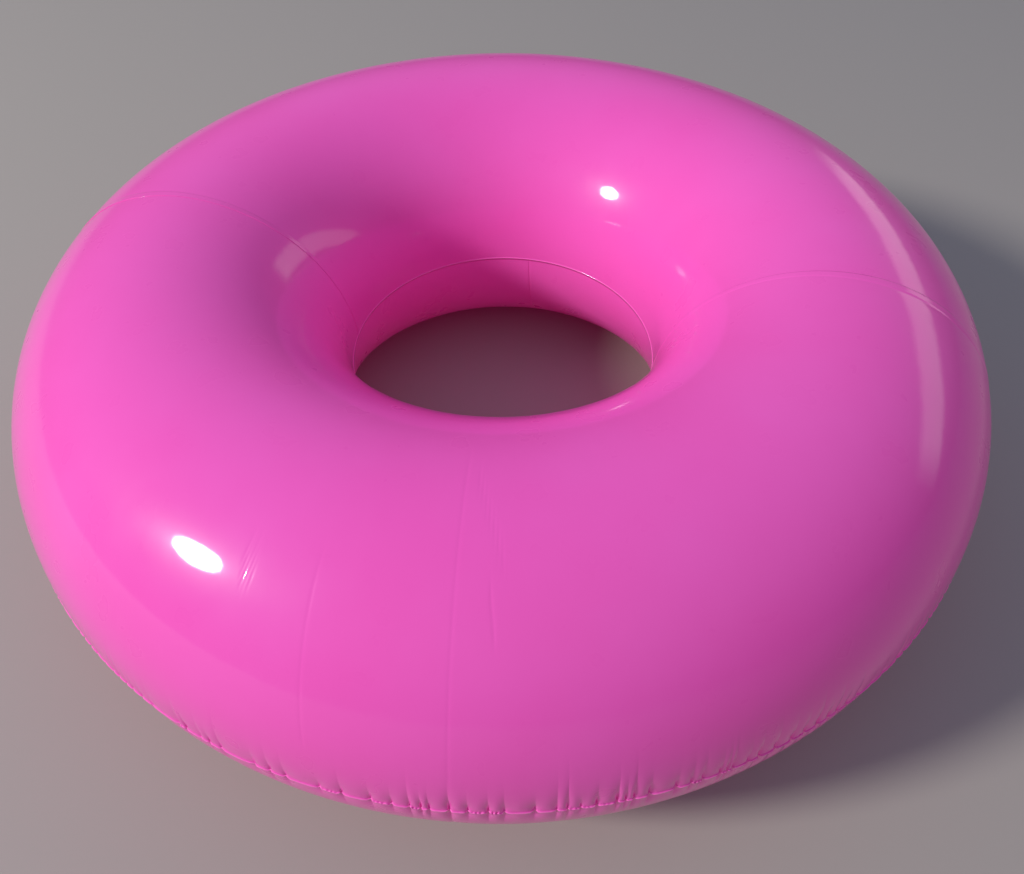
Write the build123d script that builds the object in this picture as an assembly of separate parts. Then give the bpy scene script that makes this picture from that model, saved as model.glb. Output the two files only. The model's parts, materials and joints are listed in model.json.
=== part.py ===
from build123d import *
from math import cos, degrees, radians, sin, sqrt
import os

# Inflated ring float: a tube of heavy vinyl film bent into a circle. Two skins, an upper and a lower,
# are welded together along an outer and an inner seam at the tube's mid-height. Each skin is two half
# rings with a lapped weld between them. A screwed two-stage air valve sits on the rear of the upper skin.
# Millimetres, +Z up, origin at the centre of the ring on the surface that it stands on.

# ---------------------------------------------------------------- driving sizes of the ring
centre_line_radius = 650.0      # ring axis to the middle of the tube
tube_diameter = 650.0           # inflated, over the outside of the film
film_thickness = 0.7
contact_band_width = 40.0       # how wide the inflated tube flattens where it stands
outer_weld_width = 6.0          # flat margin that stands out all round the ring
inner_weld_width = 5.0          # the same, inside the hole
lap_width = 12.0                # overlap of two half rings, measured on the centre line
lap_step_width = 4.0            # bonded strip that carries the lap on its own half ring
upper_seam_angles = (-16.5, 170.3)
lower_seam_angles = (78.3, 265.1)

# ---------------------------------------------------------------- driving sizes of the valve
valve_azimuth = 90.0            # round the ring, from +X
valve_elevation = 28.0          # round the tube, up from its outer mid-height
neck_bore = 28.0
neck_wall = 5.0
neck_height = 10.0              # above the flange
neck_thread_room = 1.3          # radial room for both threads between neck and skirt
film_hole_room = 1.0            # radial, from the neck bore out to the hole in film and patch
flange_margin = 17.0            # flange beyond the neck
flange_thickness = 1.4
patch_margin = 24.0             # patch beyond the flange
patch_thickness = 0.5
skirt_wall = 2.4
web_thickness = 2.0
gasket_thickness = 1.0
gasket_width = 4.0
seat_tube_room = 0.5            # radial, the seat tube inside the neck bore
seat_tube_wall = 3.5
seat_tube_drop = 11.4           # below the web
seat_spigot_wall = 1.5          # spigot of the seat tube, pressed into the web
seat_spigot_height = 1.2
spider_thickness = 2.0
spider_hub_wall = 2.0
spoke_width = 2.0
spoke_count = 4
stem_diameter = 4.0
stem_running_clearance = 0.08   # radial
barb_lip = 1.2                  # how far the barb stands out from the stem
barb_height = 1.3
diaphragm_lap = 2.5             # radial, the diaphragm over the seat tube's end
diaphragm_thickness = 0.9
diaphragm_travel = 2.0
port_wall = 2.0                 # inflation port, up to its thread root
port_height = 7.0               # above the web
port_thread_room = 1.1
cap_wall = 2.2
cap_top_thickness = 2.0
cap_seal_thickness = 0.8
tether_thickness = 1.3
tether_ring_width = 3.0
tether_strap_width = 7.0
tether_loop_reach = 9.0         # straight part of the strap outside its rings
grip_depth = 0.8
insert_grip_count = 20
cap_grip_count = 16
grip_cutter_diameter = 4.0
rest_gap = 0.3                  # between moving pieces that only lie near each other
seal_gap = 0.05                 # between a seal and the rim that it closes on
ring_slack = 0.5                # radial slack of a tether ring round what turns in it
groove_depth = 1.0

# ---------------------------------------------------------------- sizes that follow
tube_radius = tube_diameter / 2
axis_height = sqrt(tube_radius ** 2 - (contact_band_width / 2) ** 2)
lap_angle = degrees(lap_width / centre_line_radius)
lap_step_angle = degrees(lap_step_width / centre_line_radius)
BIG = 4 * tube_diameter         # larger than any section that it trims

neck_diameter = neck_bore + 2 * neck_wall
film_hole_diameter = neck_bore + 2 * film_hole_room
flange_diameter = neck_diameter + 2 * flange_margin
patch_diameter = flange_diameter + 2 * patch_margin
skirt_bore = neck_diameter + 2 * neck_thread_room
skirt_diameter = skirt_bore + 2 * skirt_wall
seat_tube_diameter = neck_bore - 2 * seat_tube_room
seat_tube_bore = seat_tube_diameter - 2 * seat_tube_wall
seat_spigot_diameter = seat_tube_bore + 2 * seat_spigot_wall
diaphragm_diameter = seat_tube_bore + 2 * diaphragm_lap
spider_hub_bore = stem_diameter + 2 * stem_running_clearance
spider_hub_diameter = stem_diameter + 2 * spider_hub_wall
barb_diameter = stem_diameter + 2 * barb_lip
port_diameter = seat_tube_bore + 2 * port_wall
cap_bore = port_diameter + 2 * port_thread_room
cap_diameter = cap_bore + 2 * cap_wall

flange_top = patch_thickness + flange_thickness
neck_rim = flange_top + neck_height
gasket_low = neck_rim + seal_gap
web_low = gasket_low + gasket_thickness
web_top = web_low + web_thickness
seat_low = web_low - seat_tube_drop
port_rim = web_top + port_height
seal_low = port_rim + seal_gap
cap_under = seal_low + cap_seal_thickness

base_ring_low = flange_top + rest_gap
skirt_low = base_ring_low + tether_thickness + 2 * rest_gap
insert_groove_low = (skirt_low + web_top - tether_thickness) / 2 - rest_gap
port_ring_low = web_top + rest_gap
cap_low = port_ring_low + tether_thickness + rest_gap
cap_groove_low = (cap_low + cap_under + cap_top_thickness - tether_thickness) / 2 - rest_gap


# ---------------------------------------------------------------- helpers
def tube_disc(inset, rest_on_ground):
    """The tube's section as a full disc, inset by a distance, flattened below where it stands."""
    radius = tube_radius - inset
    disc = Circle(radius)
    if not rest_on_ground:
        return disc
    floor = -(axis_height - inset)
    return disc & Pos(0, floor + BIG / 2) * Rectangle(BIG, BIG)


def band(inset, thickness, rest_on_ground=False):
    """A layer of film round the tube's whole section, from an inset inwards."""
    return tube_disc(inset, rest_on_ground) - tube_disc(inset + thickness, rest_on_ground)


def above(height):
    return Pos(0, height + BIG / 2) * Rectangle(BIG, BIG)


def below(height):
    return Pos(0, height - BIG / 2) * Rectangle(BIG, BIG)


def weld_margins(low):
    """Both flat margins of one skin, from the film outwards, as a section."""
    outer = Pos(tube_radius + (outer_weld_width - film_thickness) / 2, low + film_thickness / 2)
    inner = Pos(-tube_radius - (inner_weld_width - film_thickness) / 2, low + film_thickness / 2)
    return [
        outer * Rectangle(outer_weld_width + film_thickness, film_thickness),
        inner * Rectangle(inner_weld_width + film_thickness, film_thickness),
    ]


def sweep_section(section, start, end):
    """Turn a section of the tube round the ring's axis between two angles, in degrees."""
    swept = revolve(Plane.XZ * Pos(centre_line_radius, 0) * section, Axis.Z, end - start)
    return Pos(0, 0, axis_height) * Rot(0, 0, start) * swept


def washer(outer_diameter, inner_diameter, low, high):
    section = Circle(outer_diameter / 2) - Circle(inner_diameter / 2)
    return Pos(0, 0, low) * extrude(section, high - low)


def disc(diameter, low, high):
    return Pos(0, 0, low) * extrude(Circle(diameter / 2), high - low)


def grips(outer_diameter, count, low, high):
    """Small cylinders that scallop a turned piece's edge for the fingers."""
    cutter = disc(grip_cutter_diameter, low, high)
    radius = outer_diameter / 2 + grip_cutter_diameter / 2 - grip_depth
    return [place * cutter for place in PolarLocations(radius, count)]


def valve_plane():
    """Valve frame: on the film's outer face, +Z out of the tube, +X along the ring."""
    turn = radians(valve_azimuth)
    lift = radians(valve_elevation)
    reach = centre_line_radius + tube_radius * cos(lift)
    origin = (reach * cos(turn), reach * sin(turn), axis_height + tube_radius * sin(lift))
    outward = (cos(lift) * cos(turn), cos(lift) * sin(turn), sin(lift))
    along = (-sin(turn), cos(turn), 0)
    return Plane(origin=origin, x_dir=along, z_dir=outward)


def film_disc(outer_diameter, hole_diameter, inset, thickness):
    """A round piece cut from the tube's curved face at the valve, with a hole in the middle."""
    spread = degrees(outer_diameter / centre_line_radius)
    layer = band(inset, thickness) & above(0)
    patch = sweep_section(layer, valve_azimuth - spread, valve_azimuth + spread)
    half = outer_diameter / 2
    cutter = washer(outer_diameter, hole_diameter, -half, half)
    return patch & valve_plane() * cutter


def tether(low_ring, high_ring, side):
    """Two rings one above the other, joined by a folded strap on one side of the valve."""
    low_bore, low = low_ring
    high_bore, high = high_ring
    rings = washer(low_bore + 2 * tether_ring_width, low_bore, low, low + tether_thickness)
    rings += washer(high_bore + 2 * tether_ring_width, high_bore, high, high + tether_thickness)
    bend_at = max(low_bore, high_bore) / 2 + tether_loop_reach
    low_start = low_bore / 2 + tether_ring_width / 2
    high_start = high_bore / 2 + tether_ring_width / 2
    middle = (low + high + tether_thickness) / 2
    inner_bend = (high - low - tether_thickness) / 2
    strap = Pos((low_start + bend_at) / 2, low + tether_thickness / 2)
    strap = strap * Rectangle(bend_at - low_start, tether_thickness)
    upper = Pos((high_start + bend_at) / 2, high + tether_thickness / 2)
    upper = upper * Rectangle(bend_at - high_start, tether_thickness)
    bend = Circle(inner_bend + tether_thickness) - Circle(inner_bend)
    bend = Pos(bend_at, middle) * (bend & Pos(BIG / 2, 0) * Rectangle(BIG, BIG))
    folded = extrude(Plane.XZ * (strap + upper + bend), tether_strap_width / 2, both=True)
    return Rot(0, 0, 0 if side > 0 else 180) * (rings + folded)


# ---------------------------------------------------------------- skins
def upper_panel(start, end):
    section = (band(0, film_thickness) & above(0)) + weld_margins(0)
    panel = sweep_section(section, start, end)
    lap = band(-film_thickness, film_thickness) & above(film_thickness)
    return panel + sweep_section(lap, end - lap_step_angle, end + lap_angle)


def lower_panel(start, end):
    section = (band(0, film_thickness, True) & below(0)) + weld_margins(-film_thickness)
    panel = sweep_section(section, start, end)
    lap = band(film_thickness, film_thickness, True) & below(-film_thickness)
    return panel + sweep_section(lap, end - lap_step_angle, end + lap_angle)


# ---------------------------------------------------------------- valve, in its own frame
def valve_base():
    flange = film_disc(flange_diameter, neck_bore, -flange_top, flange_thickness)
    neck = washer(neck_diameter, neck_bore, patch_thickness, neck_rim)
    return flange + valve_plane() * neck


def check_seat():
    """Tube with a spider across its lower end, pressed into the insert's web."""
    seat_tube = washer(seat_tube_diameter, seat_tube_bore, seat_low, web_low)
    spigot = washer(seat_spigot_diameter, seat_tube_bore, web_low, web_low + seat_spigot_height)
    spider_top = seat_low + spider_thickness
    hub = disc(spider_hub_diameter, seat_low, spider_top)
    spoke = Pos(0, 0, seat_low + spider_thickness / 2)
    spoke_span = (seat_tube_diameter + seat_tube_bore) / 2
    spoke = spoke * Box(spoke_span, spoke_width, spider_thickness)
    spokes = [Rot(0, 0, 360 / spoke_count * step) * spoke for step in range(spoke_count // 2)]
    seat = seat_tube + spigot + hub + spokes
    return seat - disc(spider_hub_bore, seat_low, spider_top)


def valve_insert():
    skirt = washer(skirt_diameter, skirt_bore, skirt_low, web_top)
    web = washer(skirt_diameter, seat_tube_bore, web_low, web_top)
    port = washer(port_diameter, seat_tube_bore, web_low, port_rim)
    body = skirt + web + port
    body -= disc(seat_spigot_diameter, web_low, web_low + seat_spigot_height)
    groove_high = insert_groove_low + tether_thickness + 2 * rest_gap
    floor = skirt_diameter - 2 * groove_depth
    body -= washer(skirt_diameter + 1, floor, insert_groove_low, groove_high)
    return body - grips(skirt_diameter, insert_grip_count, skirt_low, web_top)


def insert_gasket():
    outer = skirt_bore - 2 * rest_gap
    return washer(outer, outer - 2 * gasket_width, gasket_low, web_low)


def insert_tether():
    base_ring_bore = neck_diameter + 2 * ring_slack
    top_ring_bore = skirt_diameter - 2 * groove_depth + 2 * ring_slack
    return tether((base_ring_bore, base_ring_low), (top_ring_bore, insert_groove_low + rest_gap), 1)


def check_diaphragm():
    plate_high = seat_low - rest_gap
    barb_low = seat_low + spider_thickness + diaphragm_travel + rest_gap
    plate = disc(diaphragm_diameter, plate_high - diaphragm_thickness, plate_high)
    stem = disc(stem_diameter, plate_high - diaphragm_thickness, barb_low + barb_height)
    barb = Pos(0, 0, barb_low + barb_height / 2)
    barb = barb * Cone(barb_diameter / 2, stem_diameter / 2, barb_height)
    return plate + stem + barb


def valve_cap():
    cap_top = cap_under + cap_top_thickness
    cap = disc(cap_diameter, cap_low, cap_top) - disc(cap_bore, cap_low, cap_under)
    groove_high = cap_groove_low + tether_thickness + 2 * rest_gap
    floor = cap_diameter - 2 * groove_depth
    cap -= washer(cap_diameter + 1, floor, cap_groove_low, groove_high)
    return cap - grips(cap_diameter, cap_grip_count, cap_low, cap_top)


def cap_seal():
    return disc(cap_bore - 2 * rest_gap, seal_low, cap_under)


def cap_tether():
    port_ring_bore = port_diameter + 2 * ring_slack
    top_ring_bore = cap_diameter - 2 * groove_depth + 2 * ring_slack
    return tether((port_ring_bore, port_ring_low), (top_ring_bore, cap_groove_low + rest_gap), -1)


# ---------------------------------------------------------------- the assembly
upper_right, upper_left = upper_seam_angles
lower_rear, lower_front = lower_seam_angles
film_hole = valve_plane() * disc(film_hole_diameter, -tube_radius / 2, flange_top)
frame = valve_plane()

nodes = {
    "upper_panel_rear": upper_panel(upper_right, upper_left) - film_hole,
    "upper_panel_front": upper_panel(upper_left, upper_right + 360),
    "lower_panel_left": lower_panel(lower_rear, lower_front),
    "lower_panel_right": lower_panel(lower_front, lower_rear + 360),
    "valve_patch": film_disc(patch_diameter, film_hole_diameter, -patch_thickness, patch_thickness),
    "valve_base": valve_base(),
    "valve_insert": frame * valve_insert(),
    "check_seat": frame * check_seat(),
    "insert_gasket": frame * insert_gasket(),
    "insert_tether": frame * insert_tether(),
    "check_diaphragm": frame * check_diaphragm(),
    "valve_cap": frame * valve_cap(),
    "cap_seal": frame * cap_seal(),
    "cap_tether": frame * cap_tether(),
}

os.makedirs("parts", exist_ok=True)
for name, shape in nodes.items():
    solids = shape.solids()
    export_step(Compound(solids) if len(solids) > 1 else solids[0], f"parts/{name}.step")
    size = shape.bounding_box().size
    print(f"{name:20s} solids {len(solids)}  size {size.X:7.1f} {size.Y:7.1f} {size.Z:7.1f}")
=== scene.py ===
# %% [markdown]
# # An inflated vinyl ring
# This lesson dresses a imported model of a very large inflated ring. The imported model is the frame: it
# fixes every size and every place, and the pieces made here only take over its looks. Everything is in
# metres, with +Z up and the origin at the ring's centre on the ground.

# %% Load the frame
import json
import math
from random import Random

import bmesh
import bpy
import numpy as np
from mathutils import Matrix, Vector


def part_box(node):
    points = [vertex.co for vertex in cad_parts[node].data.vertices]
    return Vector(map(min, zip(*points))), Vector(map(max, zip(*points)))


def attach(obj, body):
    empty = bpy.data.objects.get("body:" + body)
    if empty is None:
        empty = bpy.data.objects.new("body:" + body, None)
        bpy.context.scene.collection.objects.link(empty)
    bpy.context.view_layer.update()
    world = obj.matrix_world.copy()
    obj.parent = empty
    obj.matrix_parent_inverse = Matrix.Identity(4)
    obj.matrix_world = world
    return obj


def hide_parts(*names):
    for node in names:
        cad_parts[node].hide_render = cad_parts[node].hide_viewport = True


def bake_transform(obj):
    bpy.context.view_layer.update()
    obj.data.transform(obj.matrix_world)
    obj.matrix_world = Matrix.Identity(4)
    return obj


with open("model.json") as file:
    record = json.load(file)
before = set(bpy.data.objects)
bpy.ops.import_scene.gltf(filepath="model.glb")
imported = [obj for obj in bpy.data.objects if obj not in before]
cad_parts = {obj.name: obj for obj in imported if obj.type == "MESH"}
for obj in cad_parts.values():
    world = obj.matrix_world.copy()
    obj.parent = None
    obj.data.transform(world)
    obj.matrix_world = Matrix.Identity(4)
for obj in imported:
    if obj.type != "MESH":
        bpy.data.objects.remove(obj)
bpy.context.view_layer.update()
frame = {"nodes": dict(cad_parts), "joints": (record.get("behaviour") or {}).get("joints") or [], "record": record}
scene = bpy.context.scene
nodes = frame["nodes"]
mounts = {mount["name"]: mount for mount in frame["record"]["mounts"]}
joints = {joint["name"]: joint for joint in frame["joints"]}

# %% [markdown]
# ## Sizes
# Everything is worked out from the frame. The ring stands on a band under the middle of its tube, so the
# ground mount gives the centre-line radius. The lower skin ends at the tube's mid-height, where both
# skins are welded together.

# %% The ring's sizes
MM = 0.001
film = 0.7 * MM
ring_radius = mounts["ground_face"]["pos_m"][0]
mid_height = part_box("lower_panel_left")[1].z
tube_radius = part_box("upper_panel_front")[1].z - mid_height - film
outer_radius = ring_radius + tube_radius
print(f"centre line {ring_radius:.3f} m, tube {2 * tube_radius:.3f} m, welds at {mid_height:.3f} m")

# %% [markdown]
# ## Shaping formulas
# The film is shaped by moving the points of an even mesh, so a few small formulas come back in every
# step: a soft step from 0 to 1, a bell that fades away from a line, and the turn between two angles.


# %% Steps, bells and turns
def smooth_step(x):
    x = np.clip(x, 0, 1)
    return x * x * (3 - 2 * x)


def bell(distance, half_width):
    """1 on the line itself, fading to nothing about two half widths away."""
    return np.exp(-((distance / half_width) ** 2))


def turned_from(line, angle):
    """The turn from a line to an angle, from minus half a turn to half a turn."""
    return np.mod(angle - line + math.pi, 2 * math.pi) - math.pi


print("half way up a soft step:", smooth_step(0.5))

# %% [markdown]
# ## The camera
# It stands in front of the ring and looks down into the hole. Its distance and height are given in
# centre-line radii, so that the picture stays the same if the ring changes size.

# %% Place the camera
camera_back, camera_rise = 2.1034, 1.9177
camera_down, camera_right, camera_roll = 0.8449, 0.014, 0.003
frame_width, focal_length = 1024, 840

eye = bpy.data.objects.new("camera", bpy.data.cameras.new("camera"))
eye.data.sensor_width = 36
eye.data.lens = eye.data.sensor_width * focal_length / frame_width
tilt = Matrix.Rotation(math.pi / 2 - camera_down, 4, "X")
turn = Matrix.Rotation(-camera_right, 4, "Z") @ tilt @ Matrix.Rotation(-camera_roll, 4, "Z")
eye.matrix_world = Matrix.Translation(
    (0, -camera_back * ring_radius, mid_height + camera_rise * ring_radius)
) @ turn
scene.collection.objects.link(eye)
scene.camera = eye
print(f"lens {eye.data.lens:.1f} mm at height {eye.matrix_world.translation.z:.2f} m")

# %% [markdown]
# ## Pinches along the outer weld
# Two flat film rings are welded edge to edge and blown up. The outer edge has far too much length for
# the round tube, so it gathers: every few centimetres the weld is pinched inwards, and between two
# pinches the film stands out in a small lobe. A cloth simulation could find such a shape, but it would
# need a mesh of a few millimetres all round. Drawing the pinches at random from a seeded generator gives
# the same uneven rhythm in a moment, and gives it again on every run: most gaps near the average, a few
# much longer, and three stretches round the ring where the pinches are deepest.

# %% Where the pinches are
pinch_count = 250
draw = Random(11)
gaps = np.array([draw.lognormvariate(0, 0.5) for _ in range(pinch_count)]).clip(0.4, 2.8)
gaps *= 2 * math.pi / gaps.sum()
pinch_angle = np.concatenate([[0], np.cumsum(gaps)])
print(
    f"{pinch_count} pinches, {gaps.min() * outer_radius / MM:.0f}",
    f"to {gaps.max() * outer_radius / MM:.0f} mm apart",
)


# %% How deep each pinch is, and how far up the film it reaches
def drawn_sizes(least, most, usual):
    return np.array([draw.triangular(least, most, usual) * MM for _ in range(pinch_count)])


deep_stretches, deepest_at = 3, math.radians(-83)
pinch_depth = drawn_sizes(2.8, 8.2, 4.6)
pinch_depth *= 0.66 + 0.34 * np.cos(deep_stretches * (pinch_angle[:-1] - deepest_at))
pinch_reach = drawn_sizes(18, 52, 31)
pinch_kink = np.array([draw.choice((-1, 1)) * draw.uniform(0.5, 1.5) * MM for _ in range(pinch_count)])

# A draw below zero leaves a lobe smooth, so fewer than half of them are crumpled.
crumple = np.array([max(0, draw.uniform(-2.6, 1.8)) * MM for _ in range(pinch_count)])
print(f"{pinch_depth.min() / MM:.1f} to {pinch_depth.max() / MM:.1f} mm deep")
print((crumple > 0).sum(), "lobes are crumpled")

# %% [markdown]
# ## Mesh columns
# The mesh is finest where the shape is sharpest. Its columns crowd towards each pinch, and a crumpled
# lobe gets enough of them to carry its fine ripples.

# %% The columns of every lobe
lobe_columns = 8
ripple_length, columns_per_ripple, least_ripple = 7.2 * MM, 5.5, 0.3 * MM


def lobe_angles(start, gap, height):
    fine = math.ceil(columns_per_ripple * gap * outer_radius / ripple_length) if height > least_ripple else 0
    even = np.linspace(0, 1, max(lobe_columns, fine) + 1)[:-1]
    crowded = (1 - np.cos(math.pi * even)) / 2
    return start + gap * (0.5 * even + 0.5 * crowded if fine > lobe_columns else crowded)


lobes = [lobe_angles(*values) for values in zip(pinch_angle, gaps, crumple)]
print(sum(len(lobe) for lobe in lobes), "columns for the lobes")

# %% [markdown]
# ## The shape of a lobe
# At the weld a pinch is a sharp notch, and a little way up the film it has become a soft valley between
# two round pillows. Further up it fades out. The weld itself also wanders up and down: it kinks at each
# pinch and ripples along the crumpled lobes.


# %% Read a pinch and a lobe at any angle
def lobe_at(angle):
    """The lobe's number, the place along it from 0 to 1, and its width in metres."""
    angle = np.mod(angle, 2 * math.pi)
    number = np.clip(np.searchsorted(pinch_angle, angle, side="right") - 1, 0, pinch_count - 1)
    place = (angle - pinch_angle[number]) / gaps[number]
    return number, place, gaps[number] * outer_radius


def between(values, number, place):
    """A value that belongs to each pinch, carried evenly along the lobe to the next pinch."""
    return values[number] * (1 - place) + values[(number + 1) % pinch_count] * place


print("the lobe at the front is number", int(lobe_at(np.array(-math.pi / 2))[0]))

# %% Valleys above the weld
notch_height = 17 * MM
notch_sharpness, valley_sharpness, fade_sharpness = 6, 4, 1.6


def pucker(angle, height):
    """How far the film is drawn in at a height above the weld, measured along the film."""
    number, place, _ = lobe_at(angle)
    edge = np.abs(2 * place - 1)
    share = smooth_step(height / notch_height)
    valley = 0.5 * edge**valley_sharpness + 0.5 * np.cos(math.pi * place) ** 2
    profile = edge**notch_sharpness * (1 - share) + valley * share
    fade = np.exp(-((height / between(pinch_reach, number, place)) ** fade_sharpness))
    return between(pinch_depth, number, place) * profile * fade


print(f"at the front weld the film is drawn in {float(pucker(np.array(-1.6), 0.0)) / MM:.1f} mm")

# %% Kinks and ripples of the weld itself
kink_width = 2.2 * MM
unevenness, uneven_rate = 1.1, 0.31


def ripple(angle, late=0.0):
    """Fine uneven ripples along the weld of a crumpled lobe; late moves them along by part of a wave."""
    number, place, width = lobe_at(angle)
    phase = 2 * math.pi * place * width / ripple_length + late
    uneven_phase = phase + unevenness * np.sin(uneven_rate * phase + number)
    return crumple[number] * np.sin(uneven_phase) * np.sin(math.pi * place)


def weld_wave(angle):
    """How far the weld stands up or down: a kink at each pinch, and the ripples."""
    number, place, width = lobe_at(angle)
    along = np.minimum(place, 1 - place) * width / kink_width
    near = np.where(place < 0.5, number, (number + 1) % pinch_count)
    side = np.where(place < 0.5, 1, -1)
    return pinch_kink[near] * side * along * np.exp(0.5 - along**2 / 2) + ripple(angle)


print(f"the weld wanders {np.abs(weld_wave(np.linspace(0, 6, 4000))).max() / MM:.1f} mm up or down")

# %% [markdown]
# ## The valve's place
# The air valve sits on the rear of the upper skin, inside a welded patch. The cap's joint gives its spot
# and its axis. Under the patch the film has to stay round, and a hole goes through it for the neck. The
# hole is cut with planes set round a circle, which leaves the rest of the mesh as it was.

# %% Where the valve is
valve_spot = Vector(joints["cap_turn"]["pos_m"])
valve_axis = Vector(joints["cap_turn"]["axis"])
valve_along = valve_axis.cross(Vector((0, 0, 1))).normalized()
valve_up = valve_axis.cross(valve_along)
valve_turn = Matrix((valve_along, valve_up, valve_axis)).transposed().to_4x4()
valve_place = Matrix.Translation(valve_spot) @ valve_turn
hole_radius, patch_radius, patch_fade = 15 * MM, 60 * MM, 45 * MM
print("valve at", [round(v, 3) for v in valve_spot])


# %% Keep the film round under the patch, and cut the hole
def away_from_valve(points):
    """0 under the valve's patch and 1 well away from it."""
    distance = np.linalg.norm(points - np.array(valve_spot), axis=1)
    return smooth_step((distance - patch_radius) / patch_fade)


def cut_round_hole(bm, centre, axis, radius, sides=24):
    """Cut the film with planes round a circle and take out what is inside."""
    near = [f for f in bm.faces if (f.calc_center_median() - centre).length < 2.5 * radius]
    for step in range(sides):
        outward = Matrix.Rotation(2 * math.pi * step / sides, 3, axis) @ valve_up
        parts = set(near) | {e for f in near for e in f.edges} | {v for f in near for v in f.verts}
        cut = bmesh.ops.bisect_plane(
            bm, geom=list(parts), dist=1e-6, plane_co=centre + radius * outward, plane_no=outward
        )
        near = [g for g in cut["geom"] if isinstance(g, bmesh.types.BMFace)]
    inside = [f for f in near if ((f.calc_center_median() - centre).cross(axis)).length < radius]
    bmesh.ops.delete(bm, geom=inside, context="FACES")
    print("hole cut,", len(inside), "faces taken out")


# %% [markdown]
# ## Laps and creases
# Each skin is two half rings that overlap in a narrow lapped weld. The film dips a little beside the
# doubled strip, because the strip doesn't stretch as much. The front also keeps a few thin creases from
# the time that the ring was folded up. Each crease is a straight, shallow groove from one point of the
# film to another, and gets mesh columns of its own.

# %% Where the laps are
upper_seams = [math.radians(a) for a in (-16.5, 170.3)]
lower_seams = [math.radians(a) for a in (78.3, 265.1)]
lap = 12 * MM / ring_radius
lap_step = 5 * MM / ring_radius
margin_outer, margin_inner = 1.7 * MM, 0.8 * MM


def seam_dip(angle, seams):
    """The film beside a lap: a narrow dip in a wide, shallow one."""
    total = np.zeros_like(angle)
    for seam in seams:
        off = turned_from(seam, angle) * ring_radius
        total += 0.25 * MM * bell(off, 8 * MM) + 0.2 * MM * bell(off, 40 * MM)
    return total


print("laps at", [round(math.degrees(a), 1) for a in upper_seams + lower_seams], "degrees")

# %% Where the creases are
# Angle round the ring and angle round the tube where a crease starts, the same two where it ends, then
# its depth and its half width in millimetres.
creases = [
    (-94.9, 4, -94.9, 110, 0.16, 2.6),
    (-93.7, 98, -89.6, 68, 0.32, 2.2),
    (-91.6, 66, -91.0, 52, 0.36, 2.0),
    (-108.7, 70, -107.0, 16, 0.26, 2.2),
    (-116.5, 66, -115.0, 54, 0.45, 2.2),
    (-115.6, 65, -114.3, 55, 0.3, 1.9),
]
crease_run_out = 0.15


def crease_depth(angle, lift):
    total = np.zeros_like(angle)
    for a0, v0, a1, v1, depth, half in creases:
        along = (lift - math.radians(v0)) / math.radians(v1 - v0)
        line = math.radians(a0) + math.radians(a1 - a0) * along
        off = turned_from(line, angle) * (ring_radius + tube_radius * np.cos(lift))
        ends = smooth_step(along / crease_run_out) * smooth_step((1 - along) / crease_run_out)
        total += depth * MM * ends * bell(off, half * MM)
    return total


print(len(creases), "creases")

# %% All the columns round the ring
crease_room, crease_column, least_column = 0.5, 0.09, 0.0004
crease_columns = [
    np.radians(np.arange(min(a0, a1) - crease_room, max(a0, a1) + crease_room, crease_column))
    for a0, _, a1, _, _, _ in creases
]
column_angle = np.unique(np.mod(np.concatenate(lobes + crease_columns), 2 * math.pi))
column_angle = column_angle[np.diff(column_angle, prepend=-1) > least_column]
print(f"{len(column_angle)} columns round the ring")

# %% [markdown]
# ## The film panels
# Each skin is two half rings of film. A panel could be spun round the ring's axis, but a spin makes even
# steps, and this mesh has uneven ones. So one vertex is spun half round the tube to give the section,
# its ends are extruded into the flat weld margins, and the section is drawn out straight and subdivided
# into an even strip. The strip is then bent into its half ring by formulas: rows gather towards the
# welds, columns go to their angles, and the film is drawn in where it is pinched, lapped or creased.


# %% A straight strip of film
def even_strip(rows, columns):
    """The outer half of a tube as a straight, evenly divided strip one unit long, with its margins."""
    bm = bmesh.new()
    first = bm.verts.new((tube_radius, 0, 0))
    bmesh.ops.spin(bm, geom=[first], cent=(0, 0, 0), axis=(0, -1, 0), angle=math.pi, steps=rows)
    for v in sorted(bm.verts, key=lambda v: v.co.z)[:2]:
        out = margin_outer if v.co.x > 0 else -margin_inner
        tip = bmesh.ops.extrude_vert_indiv(bm, verts=[v])["verts"][0]
        tip.co.x += out
    drawn = bmesh.ops.extrude_edge_only(bm, edges=bm.edges[:])["geom"]
    far = [v for v in drawn if isinstance(v, bmesh.types.BMVert)]
    bmesh.ops.translate(bm, verts=far, vec=(0, 1, 0))
    long_edges = [e for e in bm.edges if abs(e.verts[0].co.y - e.verts[1].co.y) > 0.5]
    bmesh.ops.subdivide_edges(bm, edges=long_edges, cuts=columns - 1, use_grid_fill=True)
    mesh = bpy.data.meshes.new("film")
    bm.to_mesh(mesh)
    bm.free()
    print(f"strip of {rows} rows and {columns} columns")
    return mesh


# %% Columns and rows of a panel
end_room = 0.0008
least_margin = 0.1 * MM
even_share, crowding, inner_zone = 0.10, 2.2, 0.8


def panel_columns(start, stop):
    """The columns of one half ring, with both its ends placed exactly."""
    inside = np.concatenate([column_angle + turn for turn in (-2 * math.pi, 0, 2 * math.pi)])
    inside = inside[(inside > start + end_room) & (inside < stop - end_room)]
    return np.concatenate([[start], inside, [stop]])


def gathered_rows(out, rise, beyond):
    """The angle round the tube, from 0 at the outer weld to half a turn at the inner one."""
    even = np.where(beyond > 0, np.where(out > 0, 0, 1), np.arctan2(np.clip(rise, 0, None), out) / math.pi)
    gathered = even_share * even + (1 - even_share) * even**crowding
    near_inner = smooth_step((gathered - inner_zone) / (1 - inner_zone))
    return math.pi * (gathered + near_inner * (1 - gathered) * gathered)


print(f"columns keep {end_room * outer_radius / MM:.1f} mm from the ends of a panel")

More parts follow.
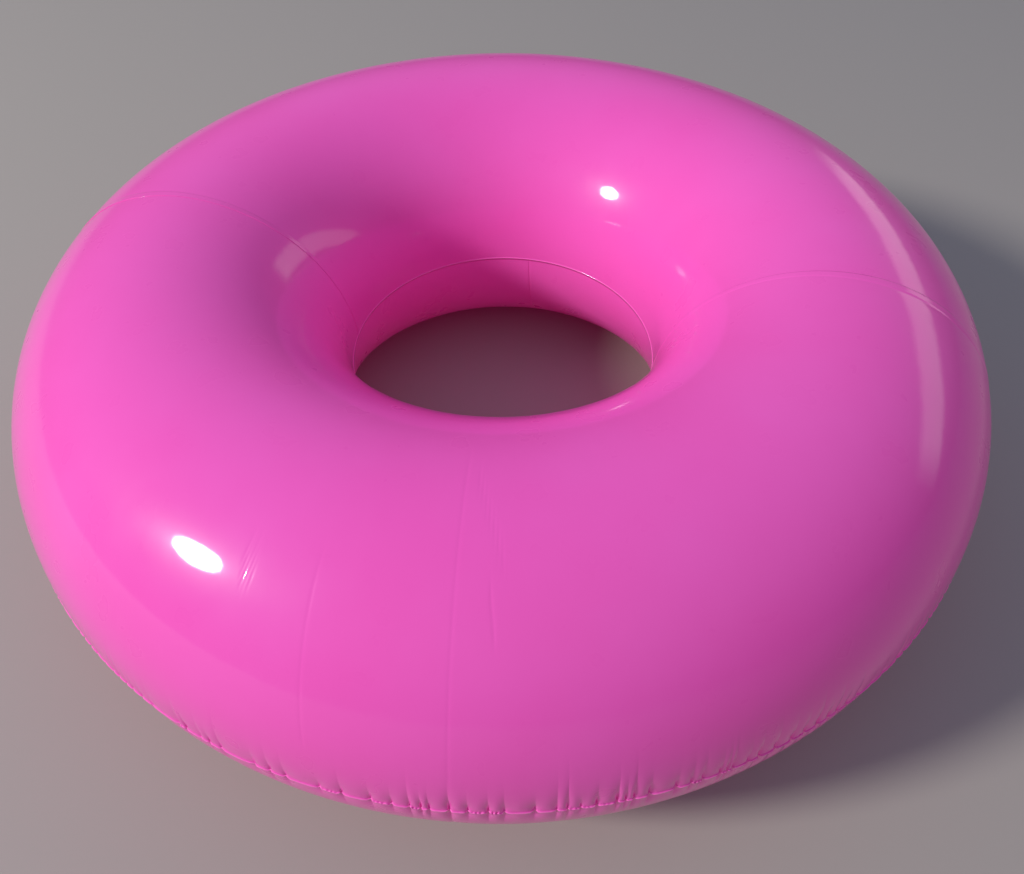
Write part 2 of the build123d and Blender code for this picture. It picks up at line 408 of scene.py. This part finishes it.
# %% Bend the strip into a half ring
weld_room, ripple_fade, wave_fade = 30 * MM, 5 * MM, 7 * MM
ripple_share, ripple_late = 0.35, 1.6


def drawn_in(angle, lift, side, seams, end):
    """How far pinches, ripples, laps and creases draw the film towards the middle of the tube."""
    height = tube_radius * lift
    inward = pucker(angle, height)
    inward += ripple_share * ripple(angle, late=ripple_late) * bell(height, ripple_fade)
    from_welds = smooth_step(height / weld_room) * smooth_step((math.pi * tube_radius - height) / weld_room)
    inward += seam_dip(angle, seams) * from_welds
    inward += crease_depth(angle, lift) * from_welds if side > 0 else 0
    on_top = smooth_step((angle - end + lap_step) / lap_step)
    return inward - side * film * on_top


def bent_film(out, rise, beyond, angle, side, seams, end):
    """Where the points of the strip go; side is 1 for the upper skin and -1 for the lower one."""
    lift = gathered_rows(out, rise, beyond)
    round_radius = ring_radius + tube_radius * np.cos(lift)
    round_points = np.column_stack([
        round_radius * np.cos(angle),
        round_radius * np.sin(angle),
        mid_height + side * tube_radius * np.sin(lift),
    ])
    reach = tube_radius - drawn_in(angle, lift, side, seams, end) * away_from_valve(round_points)
    radius = ring_radius + reach * np.cos(lift) + np.where(out > 0, beyond, -beyond)
    wave = weld_wave(angle) * bell(tube_radius * lift, wave_fade) * np.where(out > 0, 1, 0.0)
    above_weld = film + reach * np.sin(lift) * (tube_radius - film) / tube_radius
    z = np.maximum(mid_height + side * above_weld + wave, 0)
    return np.column_stack([radius * np.cos(angle), radius * np.sin(angle), z])


# %% [markdown]
# A panel's faces have to point outwards before the film gets its thickness, so its normals are
# recalculated and checked against its highest or lowest face. The margins are marked with an attribute,
# because the welded strip is painted paler than the film: partly the weld's own paler vinyl, partly a
# painted highlight for the light that its raised edge catches. The thickness is a Solidify modifier that
# grows inwards.


# %% Make one half ring of film
def face_outwards(bm, side):
    bmesh.ops.recalc_face_normals(bm, faces=bm.faces)
    crown = max(bm.faces, key=lambda f: side * f.calc_center_median().z)
    if crown.normal.z * side < 0:
        bmesh.ops.reverse_faces(bm, faces=bm.faces)


def film_panel(name, start, end, side, seams, rows):
    columns = panel_columns(start, end + lap)
    steps = len(columns) - 1
    mesh = even_strip(rows, steps)
    co = np.empty(len(mesh.vertices) * 3)
    mesh.vertices.foreach_get("co", co)
    out, along, rise = co.reshape(-1, 3).T
    beyond = np.clip(np.abs(out) - tube_radius, 0, None)
    beyond[beyond < least_margin] = 0
    angle = columns[np.rint(along * steps).astype(int)]
    bent = bent_film(out, rise, beyond, angle, side, seams, end)
    mesh.vertices.foreach_set("co", bent.ravel())
    # The welded margins are marked here so that they can be painted paler: partly the weld's own colour, partly a
    # painted highlight on their raised edge.
    welded = mesh.attributes.new("welded", "FLOAT", "POINT")
    welded.data.foreach_set("value", np.where(beyond > 0, 1.0, 0).astype(np.float32))

    bm = bmesh.new()
    bm.from_mesh(mesh)
    face_outwards(bm, side)
    if name == "upper_panel_rear":
        cut_round_hole(bm, valve_spot, valve_axis, hole_radius)
    for face in bm.faces:
        face.smooth = True
    bm.to_mesh(mesh)
    bm.free()
    panel = bpy.data.objects.new(name, mesh)
    scene.collection.objects.link(panel)
    wall = panel.modifiers.new("film thickness", "SOLIDIFY")
    wall.thickness = film
    wall.offset = -1
    mesh.name = name
    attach(panel, "ring")
    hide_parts(name)
    print(f"{name}: {steps} columns, {len(mesh.polygons)} faces")
    return panel


# %% All four panels
upper_rows, lower_rows = 70, 52
full_turn = 2 * math.pi
panels = [
    film_panel("upper_panel_rear", upper_seams[0], upper_seams[1], 1, upper_seams, upper_rows),
    film_panel("upper_panel_front", upper_seams[1], upper_seams[0] + full_turn, 1, upper_seams, upper_rows),
    film_panel("lower_panel_left", lower_seams[0], lower_seams[1], -1, lower_seams, lower_rows),
    film_panel("lower_panel_right", lower_seams[1], lower_seams[0] + full_turn, -1, lower_seams, lower_rows),
]
print(len(panels), "panels of film")

# %% [markdown]
# ## The valve pieces
# The valve is moulded in soft white vinyl: nothing on it has a knife edge. Each piece could be modelled
# again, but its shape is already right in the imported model, so it starts as a copy of that mesh. The
# loose triangles are merged, flat areas are joined into whole faces, and every crisp edge is rounded
# with a small bevel, so that it catches a thin line of light.


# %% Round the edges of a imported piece
def rounded_copy(node, edge, crisp_over=32):
    bm = bmesh.new()
    bm.from_mesh(nodes[node].data)
    bmesh.ops.remove_doubles(bm, verts=bm.verts, dist=0.01 * MM)
    bmesh.ops.dissolve_limit(bm, angle_limit=math.radians(0.5), verts=bm.verts, edges=bm.edges)
    least_turn = math.radians(crisp_over)
    crisp = [e for e in bm.edges if e.is_manifold and abs(e.calc_face_angle_signed(0)) > least_turn]
    bmesh.ops.bevel(
        bm, geom=crisp, affect="EDGES", offset=edge, segments=3, profile=0.5, material=-1, clamp_overlap=True
    )
    for face in bm.faces:
        face.smooth = True
    mesh = bpy.data.meshes.new(node)
    bm.to_mesh(mesh)
    bm.free()
    print(f"{node}: {len(crisp)} edges rounded, {len(mesh.polygons)} faces")
    return mesh


# %% [markdown]
# A tether is two rings joined by a folded strap. Its lower ring stays with what it is clipped on, its
# upper ring rises with the cap or the insert, and the fold between them opens. Here a tether is not
# blended or attached to a body: its copy keeps its place as it stands, and every other piece rides on one.


def softened(node, body, edge, held_by=None):
    mesh = rounded_copy(node, edge)
    piece = bpy.data.objects.new(node, mesh)
    scene.collection.objects.link(piece)
    shading = piece.modifiers.new("shading", "WEIGHTED_NORMAL")
    shading.keep_sharp = True
    if held_by:
        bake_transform(piece)
    else:
        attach(piece, body)
    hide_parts(node)
    return piece


# %% Soften every valve piece
white_pieces = [
    softened("valve_base", "ring", 0.35 * MM),
    softened("valve_insert", "valve_insert", 0.3 * MM),
    softened("check_seat", "valve_insert", 0.2 * MM),
    softened("valve_cap", "valve_cap", 0.35 * MM),
]
tethers = [
    softened("insert_tether", "insert_tether", 0.3 * MM, held_by="ring"),
    softened("cap_tether", "cap_tether", 0.3 * MM, held_by="valve_insert"),
]
seals = [
    softened("insert_gasket", "valve_insert", 0.15 * MM),
    softened("cap_seal", "valve_cap", 0.15 * MM),
    softened("check_diaphragm", "check_diaphragm", 0.15 * MM),
]
patch = softened("valve_patch", "ring", 0.15 * MM)
print(len(white_pieces) + len(tethers) + len(seals) + 1, "valve pieces")

# %% [markdown]
# ## Threads
# Two threads hold the valve shut: one on the neck for the insert, and one on the port for the cap. A
# thread is one small ridge section that is spun round the axis while it climbs, and its two ends run out
# into the wall. It climbs as far in a turn as its joint lifts, which the frame's couplings give.

# %% Cut the threads
thread_steps, thread_sunk, thread_run_out = 48, 0.15 * MM, 0.5
thread_foot, crest_low, crest_high, thread_top = 0, 0.24, 0.34, 0.58
couplings = frame["record"]["behaviour"]["couplings"]
lift_per_turn = {coupling["joint"]: 2 * math.pi * coupling["ratio"] for coupling in couplings}
thread_turns = 1.2
neck_radius, neck_thread_low, neck_thread_height = 19 * MM, 4.6 * MM, 0.95 * MM
port_radius, port_thread_low, port_thread_height = 12 * MM, 17.2 * MM, 0.75 * MM


def thread(name, body, wall_radius, low, height, joint, turns=thread_turns):
    """A ridge round the valve's axis; the places up its section are shares of the pitch."""
    pitch = lift_per_turn[joint]
    bm = bmesh.new()
    section = [
        (-thread_sunk, thread_foot), (height, crest_low), (height, crest_high), (-thread_sunk, thread_top)
    ]
    corners = [bm.verts.new((wall_radius + out, 0, low + up * pitch)) for out, up in section]
    face = bm.faces.new(corners)
    bmesh.ops.spin(
        bm, geom=[face, *face.edges, *corners], cent=(0, 0, 0), axis=(0, 0, 1),
        dvec=(0, 0, pitch / thread_steps), angle=2 * math.pi * turns, steps=round(thread_steps * turns),
    )
    for v in bm.verts:
        out = math.hypot(v.co.x, v.co.y)
        turned = (v.co.z - low) / pitch
        run_out = smooth_step(min(turned, turns + thread_top - turned) / thread_run_out)
        if out > wall_radius:
            v.co.xy *= (wall_radius - thread_sunk + (out - wall_radius + thread_sunk) * run_out) / out
    bmesh.ops.recalc_face_normals(bm, faces=bm.faces)
    bmesh.ops.transform(bm, matrix=valve_place, verts=bm.verts)
    for face in bm.faces:
        face.smooth = True
    mesh = bpy.data.meshes.new(name)
    bm.to_mesh(mesh)
    bm.free()
    ridge = bpy.data.objects.new(name, mesh)
    scene.collection.objects.link(ridge)
    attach(ridge, body)
    print(f"{name}: {turns} turns, {pitch / MM:.1f} mm pitch")
    return ridge


white_pieces += [
    thread("neck_thread", "ring", neck_radius, neck_thread_low, neck_thread_height, "insert_lift"),
    thread("port_thread", "valve_insert", port_radius, port_thread_low, port_thread_height, "cap_lift"),
]

# %% [markdown]
# ## The studio
# A plain pale floor, and one soft key light from the left that is far enough away to give the film two
# small bright highlights and the ring one clear shadow.

# %% Floor and key light
scene.view_settings.view_transform = "Standard"
floor_reach = 30
bm = bmesh.new()
bmesh.ops.create_grid(bm, x_segments=1, y_segments=1, size=floor_reach)
floor_mesh = bpy.data.meshes.new("floor")
bm.to_mesh(floor_mesh)
bm.free()
floor = bpy.data.objects.new("floor", floor_mesh)
scene.collection.objects.link(floor)
floor_paint = bpy.data.materials.new("pale floor")
floor_paint.use_nodes = True
shader = floor_paint.node_tree.nodes["Principled BSDF"]
shader.inputs["Base Color"].default_value = (0.38, 0.345, 0.31, 1)
shader.inputs["Roughness"].default_value = 0.9
floor_mesh.materials.append(floor_paint)


def soft_light(name, azimuth, elevation, distance, size, watts, tint):
    a, e = math.radians(azimuth), math.radians(elevation)
    toward = Vector((math.cos(e) * math.cos(a), math.cos(e) * math.sin(a), math.sin(e)))
    lamp = bpy.data.lights.new(name, "AREA")
    lamp.shape = "DISK"
    lamp.size = size
    lamp.energy = watts
    lamp.color = tint
    light = bpy.data.objects.new(name, lamp)
    light.matrix_world = (
        Matrix.Translation(toward * distance + Vector((0, 0, mid_height)))
        @ toward.to_track_quat("Z", "Y").to_matrix().to_4x4()
    )
    scene.collection.objects.link(light)
    return light


key = soft_light("key", -160.8, 33.4, distance=14, size=2.3, watts=1690, tint=(1, 0.975, 0.94))
print("key light at", [round(v, 1) for v in key.matrix_world.translation])

# %% [markdown]
# ## Small node helpers
# The room and every finish are made of the same few nodes, so each gets a helper: arithmetic, a smooth
# step, and a mix of two colours. A value is a number, a colour, or another node's output.


# %% Arithmetic, steps and mixes
def plug(tree, value, socket):
    """Set a socket to a number or a colour, or link another node's output to it."""
    if isinstance(value, bpy.types.NodeSocket):
        tree.links.new(value, socket)
    elif isinstance(value, tuple):
        socket.default_value = (*value, 1)
    else:
        socket.default_value = value


def arithmetic(tree, operation, *values):
    node = tree.nodes.new("ShaderNodeMath")
    node.operation = operation
    for socket, value in zip(node.inputs, values):
        plug(tree, value, socket)
    return node.outputs[0]


def stepped(tree, value, low, high):
    node = tree.nodes.new("ShaderNodeMapRange")
    node.interpolation_type = "SMOOTHSTEP"
    node.inputs["From Min"].default_value = low
    node.inputs["From Max"].default_value = high
    tree.links.new(value, node.inputs["Value"])
    return node.outputs["Result"]


def mixed(tree, factor, low, high):
    """A colour between two others; the Mix node has its sockets several times, once for each type."""
    node = tree.nodes.new("ShaderNodeMix")
    node.data_type = "RGBA"
    tree.links.new(factor, node.inputs["Factor"])
    for name, value in (("A", low), ("B", high)):
        plug(tree, value, next(s for s in node.inputs if s.name == name and s.type == "RGBA"))
    return next(s for s in node.outputs if s.type == "RGBA")


print("the node helpers also serve the finishes below")

# %% [markdown]
# ## The room
# Glossy film shows whatever is round it. The room is a soft gradient, warm and dim at the horizon and
# cooler overhead, with one long soft box low in the back right corner. The soft box bends down at both
# ends, so that its reflection follows the flank of the ring as a curved streak.

# %% Gradient and soft box
world = bpy.data.worlds.new("soft room")
scene.world = world
world.use_nodes = True
room = world.node_tree
direction = room.nodes.new("ShaderNodeTexCoord").outputs["Generated"]
parts = room.nodes.new("ShaderNodeSeparateXYZ")
room.links.new(direction, parts.inputs[0])
azimuth = arithmetic(room, "ARCTAN2", parts.outputs["Y"], parts.outputs["X"])
elevation = arithmetic(room, "ARCSINE", parts.outputs["Z"])
overhead = stepped(room, parts.outputs["Z"], 0.0, 0.75)
gradient = mixed(room, overhead, (0.10, 0.09, 0.08), (0.30, 0.345, 0.49))

box_azimuth, box_half_length = math.radians(38), math.radians(33)
box_elevation, box_sag = math.radians(18), math.radians(10)
box_core, box_edge = math.radians(3.5), math.radians(7)
box_light = (1.5, 1.42, 1.36)
from_middle = arithmetic(
    room, "DIVIDE", arithmetic(room, "SUBTRACT", azimuth, box_azimuth), box_half_length
)
sag = arithmetic(room, "MULTIPLY", arithmetic(room, "MULTIPLY", from_middle, from_middle), box_sag)
box_middle = arithmetic(room, "SUBTRACT", box_elevation, sag)
off_middle = arithmetic(room, "ABSOLUTE", arithmetic(room, "SUBTRACT", elevation, box_middle))
across_box = arithmetic(room, "SUBTRACT", 1.0, stepped(room, off_middle, box_core, box_edge))
starts = stepped(room, azimuth, math.radians(1), math.radians(12))
ends = arithmetic(room, "SUBTRACT", 1.0, stepped(room, azimuth, math.radians(57), math.radians(63)))
in_box = arithmetic(room, "MULTIPLY", across_box, arithmetic(room, "MULTIPLY", starts, ends))
room.links.new(mixed(room, in_box, gradient, box_light), room.nodes["Background"].inputs["Color"])
print("room of", len(room.nodes), "nodes")

# %% [markdown]
# ## Surface helpers
# A finish varies a little everywhere: in colour, in gloss and in the surface itself. Each variation is
# noise on object coordinates, at a scale in blotches per metre, brought into a range. Height fields
# become bumps, which are chained so that a fine grain lies on slow waves.


# %% Noise, ranges and bumps
def noise(tree, scale, detail=2.0):
    place = tree.nodes.new("ShaderNodeTexCoord").outputs["Object"]
    texture = tree.nodes.new("ShaderNodeTexNoise")
    texture.inputs["Scale"].default_value = scale
    texture.inputs["Detail"].default_value = detail
    tree.links.new(place, texture.inputs["Vector"])
    return texture.outputs["Fac"]


def ranged(tree, value, low, high):
    """Bring the busy middle of a noise, from 0.3 to 0.7, into a range of one's own."""
    node = tree.nodes.new("ShaderNodeMapRange")
    node.inputs["From Min"].default_value = 0.3
    node.inputs["From Max"].default_value = 0.7
    node.inputs["To Min"].default_value = low
    node.inputs["To Max"].default_value = high
    tree.links.new(value, node.inputs["Value"])
    return node.outputs["Result"]


def bumped(tree, shader, heights):
    """Chain bumps onto a shader: each is a height field and its depth in metres."""
    normal = None
    for height, depth in heights:
        bump = tree.nodes.new("ShaderNodeBump")
        bump.inputs["Strength"].default_value = 1.0
        bump.inputs["Distance"].default_value = depth
        tree.links.new(height, bump.inputs["Height"])
        if normal:
            tree.links.new(normal, bump.inputs["Normal"])
        normal = bump.outputs["Normal"]
    tree.links.new(normal, shader.inputs["Normal"])
    return normal


def new_finish(name):
    material = bpy.data.materials.new(name)
    material.use_nodes = True
    return material, material.node_tree, material.node_tree.nodes["Principled BSDF"]


def dress(pieces, finish):
    for piece in pieces:
        piece.data.materials.clear()
        piece.data.materials.append(finish)
    print(f"{finish.name} on {len(pieces)} pieces")


# %% [markdown]
# ## Pink vinyl film
# The film is a soft, dyed vinyl with a calendered gloss. Its colour is slightly cloudy, the welded
# margins are painted paler, partly for the weld's own paler vinyl and partly as a painted highlight on
# their raised edge, and under the clear gloss the body of the film scatters light softly, which a coat
# over a rougher base gives. Daylight also comes through the film and lights the shaded side from
# within. A true see-through film would need the air space and both skins in every ray, so a faint even
# glow of deep pink stands for it. Slow waves keep the reflections from being perfectly smooth.

# %% The film's finish
vinyl, tree, shader = new_finish("pink vinyl film")
# The welded margins are painted paler: partly the weld's own paler vinyl, partly a painted highlight for the light
# that catches their raised edge.
film_pink, cloudy_pink, weld_pink_and_highlight = (0.83, 0.104, 0.49), (0.84, 0.12, 0.525), (0.90, 0.20, 0.57)
weld_and_highlight_mask = tree.nodes.new("ShaderNodeAttribute")
weld_and_highlight_mask.attribute_name = "welded"
body_pink = mixed(tree, ranged(tree, noise(tree, 3.5, 3), 0, 1), film_pink, cloudy_pink)
tree.links.new(mixed(tree, weld_and_highlight_mask.outputs["Fac"], body_pink, weld_pink_and_highlight), shader.inputs["Base Color"])
tree.links.new(ranged(tree, noise(tree, 14, 3), 0.26, 0.36), shader.inputs["Roughness"])
shader.inputs["Specular IOR Level"].default_value = 0.1
shader.inputs["Coat Weight"].default_value = 0.6
shader.inputs["Coat Roughness"].default_value = 0.065
shader.inputs["Emission Color"].default_value = (1.0, 0.01, 0.27, 1)
shader.inputs["Emission Strength"].default_value = 0.1
waves, grain = noise(tree, 22, 1.5), noise(tree, 900, 2)
glossy = bumped(tree, shader, [(waves, 0.25 * MM), (grain, 0.004 * MM)])
tree.links.new(glossy, shader.inputs["Coat Normal"])
dress([*panels, patch], vinyl)

# %% [markdown]
# ## Moulded valve finishes
# The valve's plastics are moulded: white vinyl for what screws, a softer and greyer mix for the tethers,
# and milky silicone for the seals. Light enters them a millimetre or so, which rounds off their shading,
# so they have some subsurface. A fine matt grain comes from the mould.


# %% White vinyl, tethers and silicone
def moulded(name, colour, shade, rough, subsurface):
    material, tree, shader = new_finish(name)
    cloud = ranged(tree, noise(tree, 160, 3), 0, 1)
    tree.links.new(mixed(tree, cloud, colour, shade), shader.inputs["Base Color"])
    tree.links.new(ranged(tree, noise(tree, 420), rough - 0.05, rough + 0.07), shader.inputs["Roughness"])
    shader.inputs["Subsurface Weight"].default_value = subsurface
    shader.inputs["Subsurface Scale"].default_value = 1.2 * MM
    bumped(tree, shader, [(noise(tree, 260), 0.03 * MM), (noise(tree, 2600), 0.008 * MM)])
    return material


dress(white_pieces, moulded("white valve vinyl", (0.80, 0.79, 0.76), (0.74, 0.73, 0.70), 0.34, 0.25))
dress(tethers, moulded("soft white tether", (0.74, 0.73, 0.70), (0.67, 0.66, 0.63), 0.46, 0.3))
dress(seals, moulded("milky silicone", (0.66, 0.69, 0.68), (0.58, 0.61, 0.60), 0.4, 0.6))
